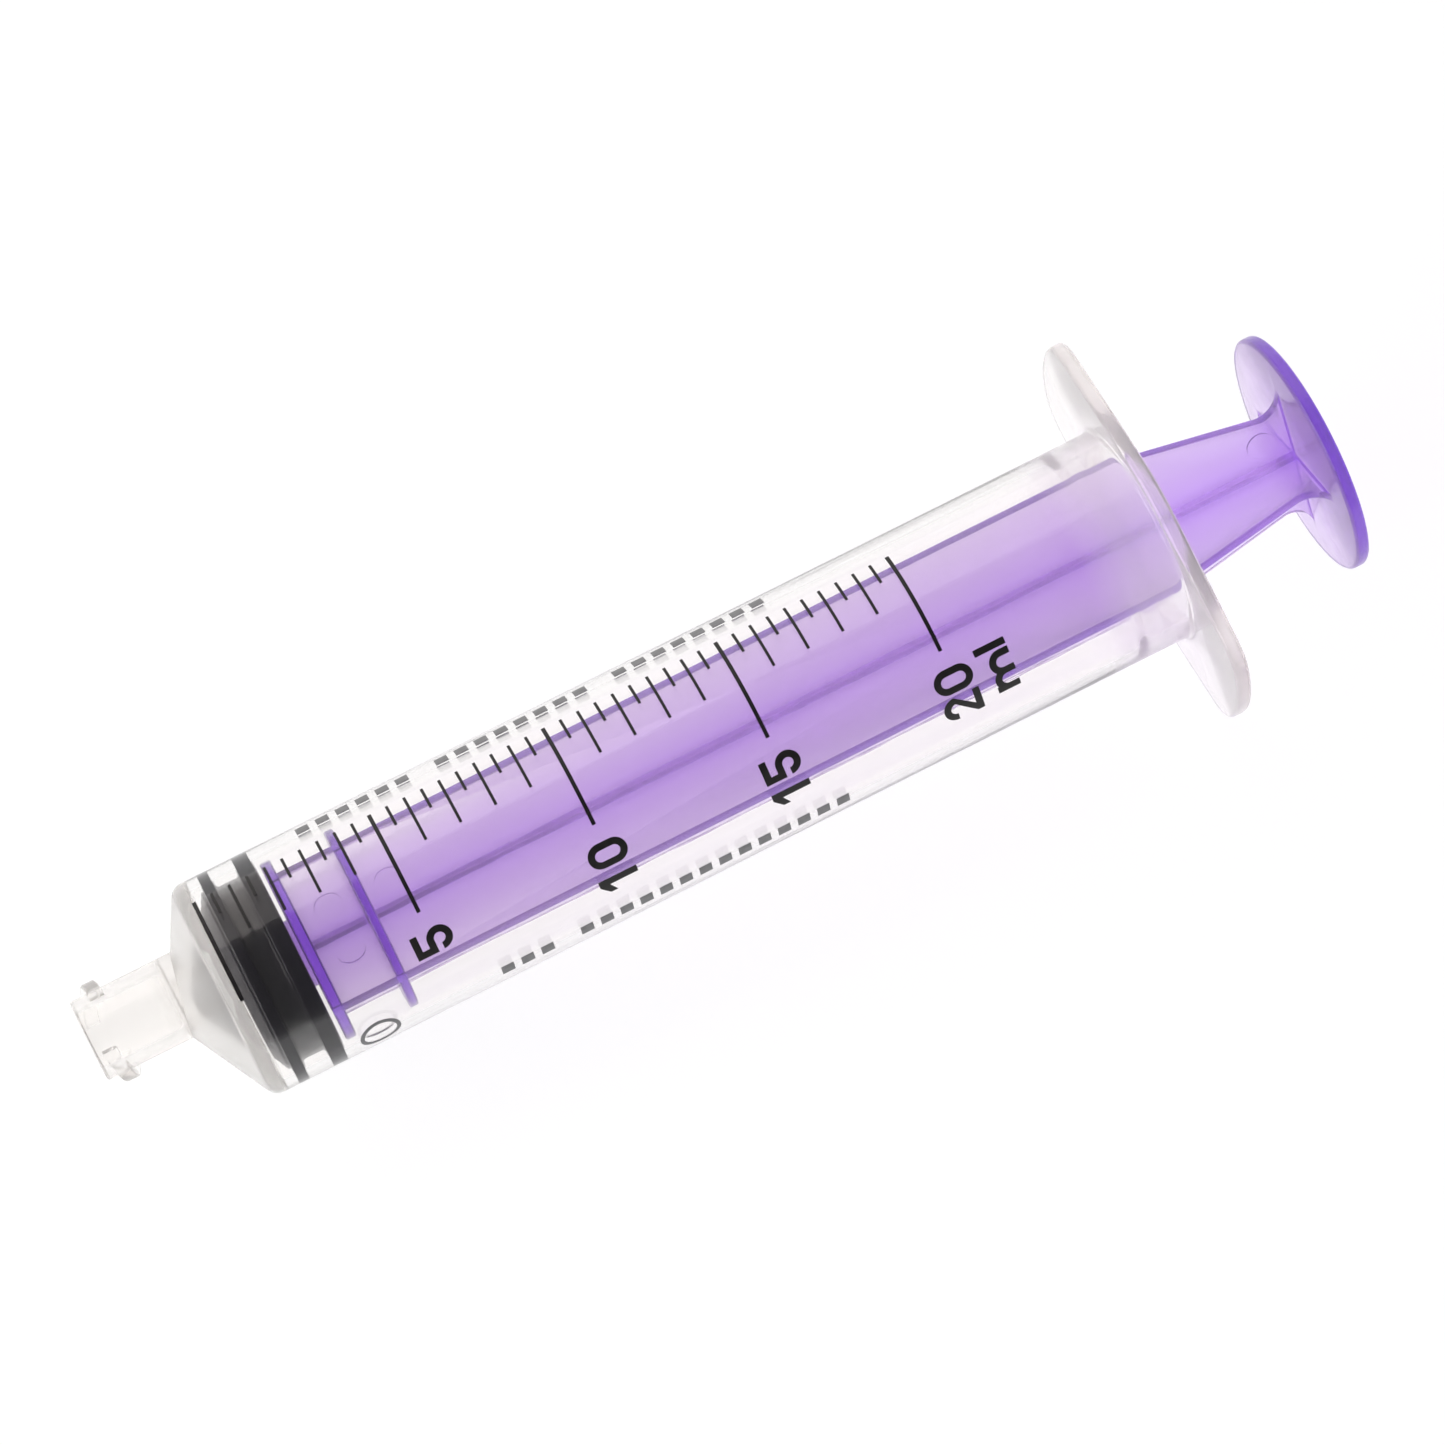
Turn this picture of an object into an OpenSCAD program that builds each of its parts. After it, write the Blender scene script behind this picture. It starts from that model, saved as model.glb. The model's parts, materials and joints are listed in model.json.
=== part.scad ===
// Oral (enteral) syringe with an off-centre socket tip, in millimetres.
// The barrel axis is X, with the tip at -X and the thumb rest at +X.
// The flange's long sides face up and down (Z).
// The origin is on the barrel axis, at the scale's zero line.
// An angle around the barrel is measured from the top (+Z) towards the front (-Y).

/* [Barrel] */
// Inside diameter of the barrel
bore_d = 19.1; // [15:0.1:26]
// Thickness of the tube wall
wall = 1; // [0.8:0.1:2]
// Volume between the zero line and the last line, in millilitres
capacity_ml = 20; // [10:5:30]
// Bore left between the last line and the flange
spare_bore = 22.9; // [14:0.1:40]
// Slope of the conical shoulder, from a flat end, in degrees
shoulder_angle = 28; // [15:1:40]
// Thickness of the shoulder, square to its face
shoulder_wall = 1.55; // [1:0.05:2.5]
// Radius of the rounded corner between shoulder and tube
corner_r = 1.6; // [0.4:0.1:2]
// Depth of the lead-in chamfer at the mouth of the bore
mouth_chamfer = 0.6; // [0.2:0.1:0.8]
// How far the stop ridge stands into the bore
ridge_h = 0.22; // [0.15:0.01:0.3]
// Length of the stop ridge along the bore, at its foot
ridge_w = 1.2; // [0.8:0.1:2]
// Distance from the stop ridge to the flange's near face
ridge_to_flange = 4.8; // [3:0.1:8]

/* [Tip] */
// Thickness of the tip's wall around the socket
tip_wall = 1.2; // [0.8:0.05:2]
// Distance from the barrel axis to the tip axis
tip_offset = 1.5; // [0:0.1:3]
// Diameter of the socket in the tip
socket_d = 5.5; // [4.5:0.1:5.8]
// Depth of the socket
socket_depth = 8.85; // [6:0.05:12]
// Thickness between the socket's floor and the middle of the shoulder's inside
tip_floor = 0.75; // [0.6:0.05:2]
// Chamfer at the mouth of the socket
socket_chamfer = 0.3; // [0.1:0.05:0.5]
// Diameter of the hole from the socket into the barrel
orifice_d = 2.2; // [1:0.1:3]
// Height of the two locking lugs above the tip
lug_h = 0.9; // [0.5:0.05:1.5]
// Angle that each lug covers, in degrees
lug_angle = 108; // [60:2:120]
// Thickness of a lug along the tip
lug_w = 1.4; // [0.6:0.1:1.6]
// Distance from the end of the tip to the middle of a lug
lug_setback = 1.95; // [1.4:0.05:3]
// Lean of a lug along its thread, in degrees
lug_lean = 8; // [0:1:12]

/* [Finger flange] */
// Thickness of the finger flange
flange_t = 1.5; // [1:0.1:3]
// How far the flange stands out of the tube at its two ends
flange_reach = 8.5; // [5:0.05:14]
// How far the flange stands out of the tube at the middle of its long sides
flange_side = 1.85; // [1.2:0.05:3]
// Slope of the flange's long sides towards its ends, in degrees
flange_slope = 15; // [10:1:20]
// Corner radius of the flange's outline
flange_corner_r = 4; // [2:0.5:6]

/* [Stopper] */
// Width of the front sealing rib at its foot
front_rib_w = 1.3; // [1:0.05:2]
// Width of the rear sealing rib at its foot
rear_rib_w = 1.75; // [1:0.05:2]
// Distance from the front of the first rib to the back of the last
stopper_length = 5.2; // [4.5:0.1:8]
// Depth of the groove between the ribs, from the bore's wall
groove_depth = 0.85; // [0.4:0.05:1.2]
// Gap between the bore's wall and the edge of the stopper's nose
nose_step = 0.65; // [0.3:0.05:1.2]
// Diameter of the flat on the stopper's nose
nose_flat_d = 2.4; // [1:0.1:4]
// Distance that the stopper stands back from its seat
drawn_back = 1.15; // [0:0.05:60]

/* [Plunger] */
// Distance from the flange to the thumb rest's near face, with the stopper on its seat
thumb_standoff = 13.75; // [8:0.05:30]
// Gap between the rod's fins and the bore's wall
rod_gap = 0.5; // [0.35:0.05:1.5]
// Thickness of the rod's fins
fin_t = 1; // [0.8:0.1:2]
// Turn of the rod's cross around its axis, in degrees
rod_turn = -33.5; // [-45:0.5:45]
// Gap between the rod's two guide discs and the bore's wall
guide_gap = 0.65; // [0.35:0.05:1.5]
// Thickness of the front guide disc
front_guide_t = 1.05; // [0.8:0.05:2]
// Thickness of the second guide disc
second_guide_t = 0.9; // [0.8:0.05:2]
// Distance between the two guide discs' front faces
guide_pitch = 6.45; // [4:0.05:12]
// Distance over which the fins narrow towards the thumb rest
taper_length = 14.4; // [8:0.1:30]
// Width of the cross at its waist
waist_d = 11.6; // [9:0.1:15]
// Radius of the flare between the waist and the thumb rest
flare_r = 2.4; // [1:0.1:4]
// Diameter of the thumb rest
thumb_d = 23.6; // [20:0.1:30]
// Thickness of the thumb rest
thumb_t = 1.35; // [1:0.05:3]
// Diameter of the knob that the stopper snaps over
knob_d = 9; // [7:0.1:11]
// Diameter of the neck behind the knob
knob_neck_d = 6.6; // [5:0.1:7]
// Length of the knob
knob_length = 2; // [1.5:0.1:2.4]

/* [Printed scale] */
// Thickness of the printed ink
ink_t = 0.05; // [0.02:0.01:0.1]
// Width of the lines at every 5 ml
major_line_w = 0.38; // [0.2:0.02:0.6]
// Width of the other lines
minor_line_w = 0.28; // [0.2:0.02:0.6]
// Angle at which every line starts, in degrees
line_start = -36; // [-60:1:0]
// Angle that the lines at every 5 ml cover, in degrees
major_span = 60; // [40:1:80]
// Angle that the lines at every 1 ml cover, in degrees
medium_span = 29.5; // [20:0.5:35]
// Angle that the lines at every half millilitre cover, in degrees
minor_span = 14.5; // [8:0.5:18]
// Height of the numerals
numeral_h = 3.8; // [2.5:0.1:5]
// Width of a numeral
numeral_w = 2.5; // [1.5:0.1:3]
// Stroke width of the numerals
stroke = 0.68; // [0.3:0.02:0.8]
// Distance around the barrel from the end of a long line to the middle of the numeral beside it
numeral_gap = 2.95; // [2.2:0.05:5.5]
// Distance around the barrel between the middles of the two numerals of a pair
numeral_pitch = 2.95; // [2.2:0.05:4.6]

/* [Clearances] */
// Radial clearance of the sealing ribs in the bore
seal_gap = 0.04; // [0.01:0.01:0.1]
// Clearance around the knob and its neck in the stopper
knob_gap = 0.06; // [0.02:0.01:0.1]
// Clearance between the stopper's nose and the shoulder when it is on its seat
seat_gap = 0.08; // [0.02:0.01:0.2]
// Gap between the stopper and the front guide disc
stopper_gap = 0.4; // [0.1:0.05:0.8]

/* [Hidden] */
$fn = 96;
// A hair of overlap where one solid is cut from or joined to another
over = 0.02;
small_fn = 48;

// Bevel on the edges of the sealing ribs
rib_bevel = 0.12;

// Barrel
bore_r = bore_d / 2;
tube_r = bore_r + wall;
ml_length = 1000 / (PI * bore_r * bore_r);
flange_x = capacity_ml * ml_length + spare_bore;
barrel_end = flange_x + flange_t;
slope = tan(shoulder_angle);
// The stopper's nose and the shoulder are parallel cones.
// A cone is named by its place along X at the bore's radius.
// The nose's cone, carried on outwards, runs through the front corner of the first rib, so that the rib
// clears the shoulder too.
nose_cone_x = rib_bevel + slope * seal_gap;
inner_cone_x = nose_cone_x - seat_gap / cos(shoulder_angle);
outer_cone_x = inner_cone_x - shoulder_wall / cos(shoulder_angle);
ridge_x = flange_x - ridge_to_flange;

// Tip
tip_r = socket_d / 2 + tip_wall;
lug_r = tip_r + lug_h;
// How far the tip and its lugs are sunk into the solid that they stand on
lug_root = 0.3;
tip_root = 0.2;
nose_flat_r = nose_flat_d / 2;
shoulder_flat_x = inner_cone_x - slope * (bore_r - nose_flat_r);
tip_reach = socket_depth + tip_floor - shoulder_flat_x;

// Stopper, with its first rib's front edge on the zero line when it is on its seat
rib_r = bore_r - seal_gap;
groove_r = bore_r - groove_depth;
nose_r = bore_r - nose_step;
knob_front = stopper_length - 2 * knob_length;
knob_back = knob_front + knob_length;
rod_start = stopper_length + stopper_gap;

// Plunger
rod_r = bore_r - rod_gap;
guide_r = bore_r - guide_gap;
rod_reach = barrel_end + thumb_standoff;
waist_r = waist_d / 2;
thumb_r = thumb_d / 2;
thumb_edge_r = 0.3;
taper_start = rod_reach - flare_r - taper_length;
// A small round core fills the corners where the fins cross
core_r = fin_t * 0.95;

// Printed scale
pair_middle = line_start + major_span + around(numeral_gap);
pair_step = around(numeral_pitch);
// Distance of the unit mark past the last line
unit_x = 4.6;
// How much nearer to the lines the unit mark stands than the numerals do, around the barrel
unit_shift = 1.3;
// Distance around the barrel between the two letters of the unit mark
unit_pitch = 2.75;
// Two rows of plain blocks stand beside the scale.
// A row is given by where it starts and how many blocks each of its groups has.
block_w = 1.25;
block_pitch = 2;
block_group_gap = 2;
block_span = 8;
rear_blocks_x = 11;
rear_blocks = [6, 8, 8];
rear_blocks_angle = -54;
front_blocks_x = 22;
front_blocks = [3, 14];
front_blocks_angle = 81;
ring_x = 9.8;
ring_r = 2;
ring_line_w = 0.4;

// A cone in the shoulder's slope: its place along X at a radius, from its place at the bore's radius
function cone_x(place, r) = place - slope * (bore_r - r);

// The angle that a distance around the barrel's surface covers, in degrees
function around(distance) = distance / tube_r * 180 / PI;

// Turns a profile drawn as [radius, x], or its solid, from the Z axis to the X axis
module lay() rotate([0, 90, 0]) rotate([0, 0, 180]) children();

// Turns an outline drawn in [y, z] and extruded along Z so that it is extruded along X
module stand() rotate([90, 0, 90]) children();

// A ring between two radii and two places along X
module ring_profile(r1, r2, x1, x2) translate([r1, x1]) square([r2 - r1, x2 - x1]);

// One locking lug of a thread, on the front (-1) or the rear (1) of the tip
module lug(side) {
    intersection() {
        lay() rotate([0, 0, -side * 90 - lug_angle / 2])
            rotate_extrude(angle = lug_angle)
                ring_profile(tip_r - lug_root, lug_r, lug_setback - lug_w, lug_setback + lug_w);
        translate([lug_setback, 0, 0]) rotate([0, side * lug_lean, 0])
            cube([lug_w, 4 * lug_r, 4 * lug_r], center = true);
    }
}

// The flange's outline: a disc whose two long sides slope away from a round middle, with round corners.
// A straight side starts and ends a hair inside the arcs it runs into, so that they cross cleanly.
module flange_outline() {
    end_r = tube_r + flange_reach;
    middle_r = tube_r + flange_side;
    side_normal = [sin(flange_slope), cos(flange_slope)];
    side_line = [cos(flange_slope), -sin(flange_slope)];
    corner_depth = middle_r - flange_corner_r;
    corner_run = sqrt(pow(end_r - flange_corner_r, 2) - pow(corner_depth, 2));
    corner = corner_depth * side_normal + corner_run * side_line;
    past_end = 2 * end_r * corner / norm(corner);
    side_end = corner + (flange_corner_r - over) * side_normal;
    side_start = (middle_r - over) * side_normal;
    intersection() {
        circle(end_r);
        union() {
            circle(middle_r);
            for (side = [0, 1], end = [0, 1]) mirror([0, side]) mirror([end, 0]) {
                polygon([[0, 0], [past_end[0], 0], past_end, corner, side_end, side_start]);
                translate(corner) circle(flange_corner_r + over, $fn = small_fn);
            }
        }
    }
}

module barrel_outside() {
    corner_x = cone_x(outer_cone_x, tube_r);
    tangent = corner_r * tan((90 - shoulder_angle) / 2);
    lay() rotate_extrude() {
        polygon([[0, cone_x(outer_cone_x, 0)],
            [tube_r - tangent * cos(shoulder_angle), corner_x - tangent * sin(shoulder_angle)],
            [tube_r - corner_r, corner_x + tangent],
            [tube_r, corner_x + tangent],
            [tube_r, barrel_end],
            [0, barrel_end]]);
        intersection() {
            translate([tube_r - corner_r, corner_x + tangent]) circle(corner_r);
            ring_profile(0, tube_r + 1, corner_x - corner_r, corner_x + tangent);
        }
    }
    translate([flange_x, 0, 0]) stand() linear_extrude(flange_t) flange_outline();
}

module tip_outside() {
    root_x = cone_x(outer_cone_x, tip_offset + tip_r) + tip_root;
    translate([-tip_reach, 0, 0]) {
        lay() cylinder(h = tip_reach + root_x, r = tip_r);
        lug(-1);
        lug(1);
    }
}

module bore_space() {
    lay() rotate_extrude()
        polygon([[0, shoulder_flat_x],
            [nose_flat_r, shoulder_flat_x],
            [bore_r, inner_cone_x],
            [bore_r, ridge_x],
            [bore_r - ridge_h, ridge_x + ridge_h],
            [bore_r - ridge_h, ridge_x + ridge_w - ridge_h],
            [bore_r, ridge_x + ridge_w],
            [bore_r, barrel_end - mouth_chamfer],
            [bore_r + mouth_chamfer, barrel_end],
            [bore_r + mouth_chamfer, barrel_end + over],
            [0, barrel_end + over]]);
}

module tip_space() {
    orifice_end = cone_x(inner_cone_x, tip_offset + orifice_d / 2) + over;
    translate([-tip_reach, 0, 0]) lay() {
        cylinder(h = socket_depth, d = socket_d);
        translate([0, 0, -over])
            cylinder(h = over + socket_chamfer, d1 = socket_d + 2 * (socket_chamfer + over), d2 = socket_d);
        cylinder(h = tip_reach + orifice_end, d = orifice_d, $fn = small_fn);
    }
}

module barrel() {
    color([0.9, 0.9, 0.89, 0.4]) difference() {
        union() {
            barrel_outside();
            translate([0, tip_offset, 0]) tip_outside();
        }
        bore_space();
        translate([0, tip_offset, 0]) tip_space();
    }
}

module stopper() {
    groove_start = front_rib_w;
    groove_end = stopper_length - rear_rib_w;
    color([0.14, 0.13, 0.17]) translate([drawn_back, 0, 0]) lay() rotate_extrude() difference() {
        polygon([[0, cone_x(nose_cone_x, nose_flat_r)],
            [nose_flat_r, cone_x(nose_cone_x, nose_flat_r)],
            [nose_r, cone_x(nose_cone_x, nose_r)],
            [nose_r, 0],
            [rib_r, rib_bevel],
            [rib_r, groove_start - rib_bevel],
            [groove_r, groove_start],
            [groove_r, groove_end],
            [rib_r, groove_end + rib_bevel],
            [rib_r, stopper_length - rib_bevel],
            [nose_r, stopper_length],
            [0, stopper_length]]);
        // The hollow that holds the knob and its neck
        ring_profile(-1, knob_d / 2 + knob_gap, knob_front - knob_gap, knob_back + knob_gap);
        ring_profile(-1, knob_neck_d / 2 + knob_gap, knob_back, stopper_length + 1);
    }
}

// Half the outline of a fin plate, drawn as [x, radius]
module fin_half() {
    flare_x = rod_reach - flare_r;
    difference() {
        polygon([[rod_start + over, -over],
            [rod_start + over, rod_r],
            [taper_start, rod_r],
            [flare_x, waist_r],
            [flare_x, waist_r + flare_r],
            [rod_reach + over, waist_r + flare_r],
            [rod_reach + over, -over]]);
        translate([flare_x, waist_r + flare_r]) circle(flare_r);
    }
}

module fin_plate(turn) {
    rotate([turn + 90, 0, 0]) linear_extrude(fin_t, center = true) {
        fin_half();
        mirror([0, 1]) fin_half();
    }
}

module plunger() {
    color([0.62, 0.45, 0.86, 0.8]) translate([drawn_back, 0, 0]) {
        intersection() {
            union() {
                fin_plate(rod_turn);
                fin_plate(rod_turn + 90);
            }
            lay() cylinder(h = rod_reach + over, r = rod_r);
        }
        lay() {
            translate([0, 0, rod_start]) cylinder(h = rod_reach - rod_start, r = core_r, $fn = small_fn);
            translate([0, 0, rod_start]) cylinder(h = front_guide_t, r = guide_r);
            translate([0, 0, rod_start + guide_pitch]) cylinder(h = second_guide_t, r = guide_r);
            translate([0, 0, knob_front]) cylinder(h = knob_length, d = knob_d);
            translate([0, 0, knob_back - over])
                cylinder(h = rod_start - knob_back + 2 * over, d = knob_neck_d);
            rotate_extrude() {
                ring_profile(0, thumb_r - thumb_edge_r, rod_reach, rod_reach + thumb_t);
                ring_profile(0, thumb_r, rod_reach + thumb_edge_r, rod_reach + thumb_t - thumb_edge_r);
                for (x = [thumb_edge_r, thumb_t - thumb_edge_r])
                    translate([thumb_r - thumb_edge_r, rod_reach + x]) circle(thumb_edge_r, $fn = small_fn);
            }
        }
    }
}

// One printed line around the barrel at a volume
module scale_line(ml, span, w) {
    translate([ml * ml_length, 0, 0]) lay() rotate([0, 0, line_start])
        rotate_extrude(angle = span) ring_profile(tube_r, tube_r + ink_t, -w / 2, w / 2);
}

module scale_lines_5ml() {
    color([0.08, 0.07, 0.07])
        for (ml = [0 : 5 : capacity_ml]) scale_line(ml, major_span, major_line_w);
}

module scale_lines_1ml() {
    color([0.08, 0.07, 0.07])
        for (ml = [1 : capacity_ml - 1])
            if (ml % 5 != 0) scale_line(ml, medium_span, minor_line_w);
}

module scale_lines_half_ml() {
    color([0.08, 0.07, 0.07])
        for (ml = [0 : capacity_ml - 1]) scale_line(ml + 0.5, minor_span, minor_line_w);
}

// An arched stroke: part of a ring in a box from corner a to corner b
module arc_stroke(r, a, b) {
    intersection() {
        difference() {
            circle(r, $fn = small_fn);
            circle(r - stroke, $fn = small_fn);
        }
        translate(a) square(b - a);
    }
}

// The numerals are drawn upright, centred on their own middle
module glyph_0() {
    r = numeral_w / 2;
    rise = numeral_h / 2 - r;
    for (side = [0, 1]) mirror([0, side]) {
        translate([0, rise]) arc_stroke(r, [-r, 0], [r, r]);
        for (end = [0, 1]) mirror([end, 0]) translate([r - stroke, 0]) square([stroke, rise]);
    }
}

module glyph_1() {
    stem_x = -0.1;
    top = numeral_h / 2;
    flag = numeral_h * 0.24;
    drop = flag * 0.9;
    translate([stem_x, -top]) square([stroke, numeral_h]);
    polygon([[stem_x, top],
        [stem_x - flag, top - drop],
        [stem_x - flag, top - drop - stroke],
        [stem_x, top - drop - stroke * 0.2]]);
}

module glyph_2() {
    r = numeral_w / 2;
    top = numeral_h / 2;
    foot = -numeral_h / 2;
    translate([0, top - r]) arc_stroke(r, [-r, 0], [r, r]);
    polygon([[r, top - r],
        [r - stroke, top - r],
        [-r, foot + stroke],
        [-r, foot],
        [-r + stroke * 1.3, foot + stroke]]);
    translate([-r, foot]) square([numeral_w, stroke]);
}

module glyph_5() {
    r = numeral_h * 0.32;
    left = -numeral_w / 2;
    top = numeral_h / 2;
    foot = -numeral_h / 2;
    middle = [numeral_w / 2 - r, foot + r];
    translate(middle) arc_stroke(r, [-r, -r], [r, 0]);
    translate(middle) arc_stroke(r, [0, 0], [r, r]);
    translate([left, foot + 2 * r - stroke]) square([middle[0] - left, stroke]);
    translate([left, foot + 2 * r - stroke]) square([stroke, top - (foot + 2 * r - stroke)]);
    translate([left, top - stroke]) square([numeral_w * 0.94, stroke]);
}

module glyph_m() {
    h = numeral_h * 0.58;
    bay = h * 0.82;
    r = bay / 2 + stroke / 2;
    for (i = [-1 : 1]) translate([i * bay - stroke / 2, -h / 2]) square([stroke, i == -1 ? h : h - r]);
    for (i = [-0.5, 0.5]) translate([i * bay, h / 2 - r]) arc_stroke(r, [-r, 0], [r, r]);
}

module glyph_l() {
    translate([-stroke / 2, -numeral_h * 0.29]) square([stroke, numeral_h * 0.82]);
}

// Wraps a glyph onto the barrel as ink, its top towards the tip of the syringe
module printed(x, angle) {
    reach = 2;
    intersection() {
        rotate([angle, 0, 0]) translate([x, 0, tube_r - reach / 2]) rotate([0, 0, 90])
            linear_extrude(reach) children();
        translate([x - numeral_h, 0, 0]) lay() difference() {
            cylinder(h = 2 * numeral_h, r = tube_r + ink_t);
            translate([0, 0, -1]) cylinder(h = 2 * numeral_h + 2, r = tube_r);
        }
    }
}

module numeral_5() {
    color([0.08, 0.07, 0.07]) printed(5 * ml_length, pair_middle) glyph_5();
}

module numeral_10() {
    color([0.08, 0.07, 0.07]) {
        printed(10 * ml_length, pair_middle) glyph_0();
        printed(10 * ml_length, pair_middle + pair_step) glyph_1();
    }
}

module numeral_15() {
    color([0.08, 0.07, 0.07]) {
        printed(15 * ml_length, pair_middle) glyph_5();
        printed(15 * ml_length, pair_middle + pair_step) glyph_1();
    }
}

module numeral_20() {
    color([0.08, 0.07, 0.07]) {
        printed(20 * ml_length, pair_middle) glyph_0();
        printed(20 * ml_length, pair_middle + pair_step) glyph_2();
    }
}

module unit_mark() {
    x = 20 * ml_length + unit_x;
    color([0.08, 0.07, 0.07]) {
        printed(x, pair_middle - around(unit_shift)) glyph_l();
        printed(x, pair_middle + around(unit_pitch - unit_shift)) glyph_m();
    }
}

// How many blocks stand in the groups before group i
function blocks_before(groups, i) = i == 0 ? 0 : groups[i - 1] + blocks_before(groups, i - 1);

// Groups of plain printed blocks in a row along the barrel
module block_row(start, groups, angle) {
    for (i = [0 : len(groups) - 1], k = [0 : groups[i] - 1]) {
        x = start + (blocks_before(groups, i) + k) * block_pitch + i * block_group_gap;
        translate([x, 0, 0]) lay() rotate([0, 0, angle - block_span / 2])
            rotate_extrude(angle = block_span)
                ring_profile(tube_r, tube_r + ink_t, 0, block_w);
    }
}

module print_blocks_rear() {
    color([0.45, 0.45, 0.46]) block_row(rear_blocks_x, rear_blocks, rear_blocks_angle);
}

module print_blocks_front() {
    color([0.45, 0.45, 0.46]) {
        block_row(front_blocks_x, front_blocks, front_blocks_angle);
        printed(ring_x, front_blocks_angle) difference() {
            circle(ring_r);
            circle(ring_r - ring_line_w);
        }
    }
}

barrel();
stopper();
plunger();
scale_lines_5ml();
scale_lines_1ml();
scale_lines_half_ml();
numeral_5();
numeral_10();
numeral_15();
numeral_20();
unit_mark();
print_blocks_rear();
print_blocks_front();
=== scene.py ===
"""The look of an oral syringe: clear barrel, black stopper, purple plunger and a printed scale."""
import json
import math

import bmesh
import bpy
from mathutils import Matrix, Vector


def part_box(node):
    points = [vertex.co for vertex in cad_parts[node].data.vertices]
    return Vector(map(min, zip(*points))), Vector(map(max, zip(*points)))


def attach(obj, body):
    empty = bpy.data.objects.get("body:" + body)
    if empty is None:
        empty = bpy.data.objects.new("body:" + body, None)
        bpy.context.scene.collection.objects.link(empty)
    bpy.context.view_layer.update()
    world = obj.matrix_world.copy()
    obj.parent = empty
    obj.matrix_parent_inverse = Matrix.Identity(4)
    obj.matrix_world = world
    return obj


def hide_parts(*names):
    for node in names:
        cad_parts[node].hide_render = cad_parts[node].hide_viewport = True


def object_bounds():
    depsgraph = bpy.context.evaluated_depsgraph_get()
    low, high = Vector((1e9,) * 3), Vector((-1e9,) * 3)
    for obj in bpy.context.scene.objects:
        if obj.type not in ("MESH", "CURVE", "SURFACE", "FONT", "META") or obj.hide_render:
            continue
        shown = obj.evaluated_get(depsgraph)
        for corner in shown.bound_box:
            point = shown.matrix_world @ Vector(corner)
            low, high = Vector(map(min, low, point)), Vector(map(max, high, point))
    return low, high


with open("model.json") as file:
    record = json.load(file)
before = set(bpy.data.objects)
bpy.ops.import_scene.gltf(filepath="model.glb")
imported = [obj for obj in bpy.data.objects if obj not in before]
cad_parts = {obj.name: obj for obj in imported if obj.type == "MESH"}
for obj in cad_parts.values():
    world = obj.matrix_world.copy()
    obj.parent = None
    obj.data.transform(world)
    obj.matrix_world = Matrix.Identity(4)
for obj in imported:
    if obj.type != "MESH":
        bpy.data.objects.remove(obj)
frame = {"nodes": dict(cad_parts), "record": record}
cad_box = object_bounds()

MM = 0.001
MOUNTS = {m["name"]: m for m in frame["record"]["mounts"]}

# Camera: it looks down on the syringe, which lies with its tip to the lower left. Lens and sensor are in mm.
AIM = Vector((50.42, 1.67, 0.0)) * MM
DISTANCE = 487.8 * MM
AZIMUTH = math.radians(-110.165)
ELEVATION = math.radians(72.768)
ROLL = math.radians(-7.243)
LENS = 132.72
SENSOR = 36.0
CLIP_START = 0.01
CLIP_END = 20.0

# Floor, its own glow, and the world's light from the horizon up to the ceiling
FLOOR_HALF = 3.0
FLOOR_GLOW = 0.86
HORIZON = (0.95, 0.95, 0.95)
CEILING = (0.10, 0.10, 0.105)
CEILING_START = 0.14
WHITE = (1.0, 1.0, 1.0)

PLASTIC_IOR = 1.49
CLEAR_DENSITY = 8.0
PURPLE_DENSITY = 165.0
LIGHT_BOUNCES = 24


def corners(node):
    """A node's lowest and highest corners, in millimetres."""
    low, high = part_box(node)
    return Vector(low) / MM, Vector(high) / MM


# Sizes from the frame, in millimetres
barrel_low, barrel_high = corners("barrel")
stopper_high = corners("stopper")[1]
plunger_high = corners("plunger")[1]
TUBE_R = MOUNTS["barrel_body"]["dims"]["r_mm"]
SOCKET_R = MOUNTS["tip_socket"]["dims"]["r_mm"]
TIP_Y = MOUNTS["tip_socket"]["pos_m"][1] / MM
TIP_END = barrel_low.x
BARREL_END = barrel_high.x
FLANGE_END_R = barrel_high.y
FLANGE_SIDE_R = barrel_high.z
THUMB_R = plunger_high.z
THUMB_END = plunger_high.x

# How far the stopper and plunger stand back from the seat at rest, in millimetres
DRAWN_BACK = 1.15

# Barrel, in millimetres
WALL = 1.0
BORE_R = TUBE_R - WALL
SHOULDER_ANGLE = math.radians(28)
SHOULDER_WALL = 1.55
SHOULDER_EDGE_R = 1.6
SEAT_GAP = 0.08
NOSE_FLAT_R = 1.2
FLANGE_T = 1.5
FLANGE_X = BARREL_END - FLANGE_T
FLANGE_SLOPE = math.radians(15)
FLANGE_CORNER_R = 4.0
FLANGE_FILLET_R = 0.5
FLANGE_EDGE_R = 0.45
FLANGE_STEPS = 288
RIDGE_X = FLANGE_X - 4.8
RIDGE_W = 1.2
RIDGE_H = 0.22
RIDGE_RUN = 0.6
RIDGE_BLEND_R = 2.5
MOUTH_CHAMFER = 0.6
TIP_R = SOCKET_R + 1.2
LUG_R = TIP_R + 0.9
LUG_ANGLE = math.radians(108)
LUG_W = 1.4
LUG_SETBACK = 1.95
LUG_LEAN = math.tan(math.radians(8))
LUG_ROOT = 0.3
LUG_EDGE_R = 0.25
SOCKET_DEPTH = 8.85
SOCKET_CHAMFER = 0.3
ORIFICE_R = 1.1

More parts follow.
